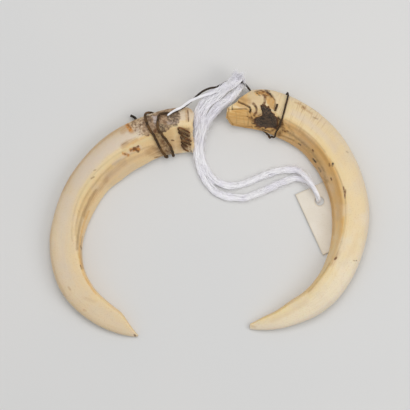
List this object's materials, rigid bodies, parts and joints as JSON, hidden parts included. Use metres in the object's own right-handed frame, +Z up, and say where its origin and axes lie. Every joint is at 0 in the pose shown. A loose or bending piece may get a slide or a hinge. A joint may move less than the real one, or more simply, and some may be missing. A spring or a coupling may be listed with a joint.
{
  "type": "pair of boar tusks lashed with wire",
  "caption": "Boar tusks lashed together at their root ends with iron wire into a crescent ornament, with a white string and a blank paper tag.",
  "frame": {"origin": "on the surface the tusks lie on, below the middle of the pair", "axes": "+X across the pair towards the larger tusk, +Y towards the lashed root ends, +Z up from the surface"},
  "size_m": [0.1918, 0.1574, 0.0186],
  "materials": {
    "enamel_pale": "satin",
    "enamel_warm": "satin",
    "rusted_iron": "rusted",
    "brown_wire": "dull",
    "pitch": "matt",
    "cotton": "matt",
    "paper": "matt"
  },
  "bodies": {
    "root": {"tusk_left": "enamel_pale", "tusk_right": "enamel_warm", "lashing_wire": "rusted_iron", "wire_stub": "rusted_iron", "end_coil": "brown_wire", "pitch_lump": "pitch", "string_leg_outer": "cotton", "string_leg_inner": "cotton", "string_loose_yarn": "cotton", "paper_tag": "paper"}
  },
  "joints": []
}
